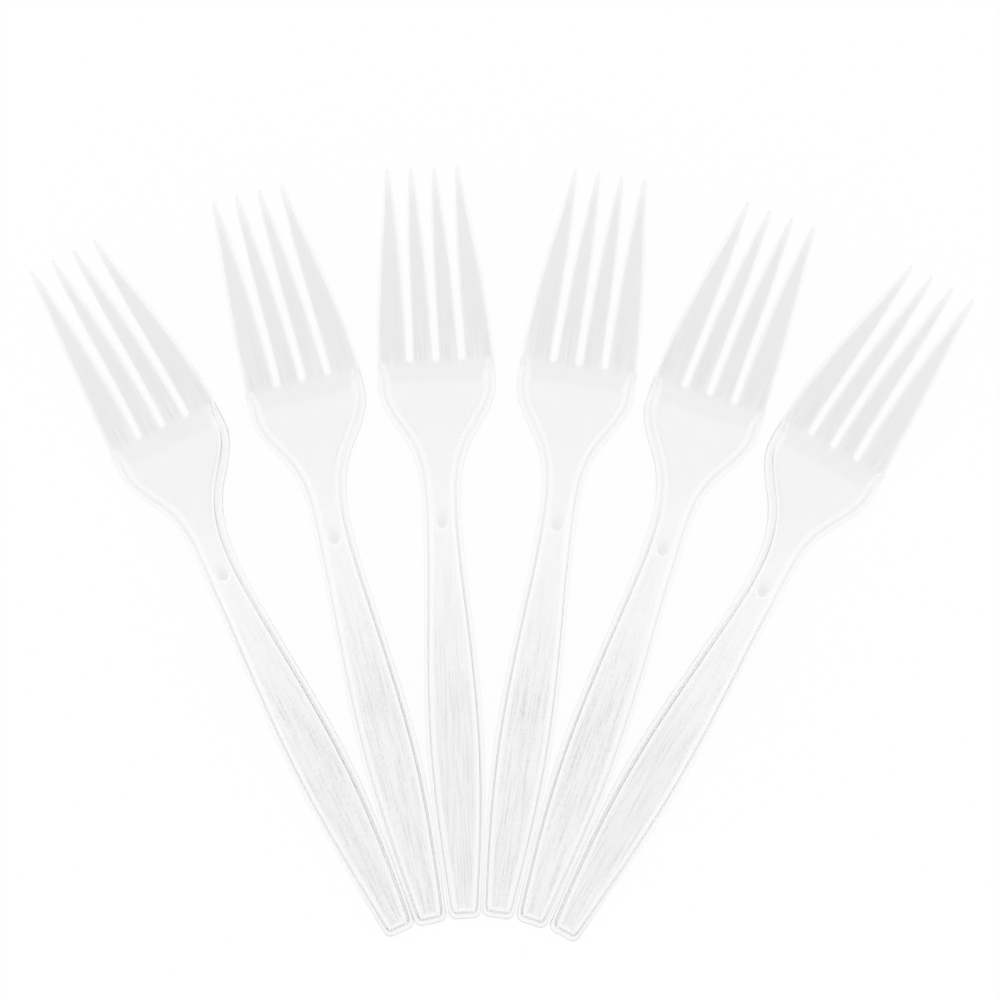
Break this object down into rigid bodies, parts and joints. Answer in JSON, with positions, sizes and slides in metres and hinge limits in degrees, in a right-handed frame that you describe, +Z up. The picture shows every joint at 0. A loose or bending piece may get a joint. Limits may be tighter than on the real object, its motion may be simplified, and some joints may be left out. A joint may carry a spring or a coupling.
{
  "type": "disposable fork set",
  "caption": "Clear plastic disposable forks laid out face up as a fan, each with a beaded handle, an arched neck and four tapering tines.",
  "frame": {"origin": "middle of the set's outline seen from above, on the surface that the forks lie on", "axes": "+X across the fan, from the first fork to the last; +Y from the handle ends towards the tines; +Z up, out of the forks' faces"},
  "size_m": [0.219, 0.186, 0.0178],
  "materials": {
    "clear_plastic": "gloss"
  },
  "bodies": {
    "root": {"fork_1": "clear_plastic", "fork_2": "clear_plastic", "fork_3": "clear_plastic", "fork_4": "clear_plastic", "fork_5": "clear_plastic", "fork_6": "clear_plastic"}
  },
  "joints": []
}
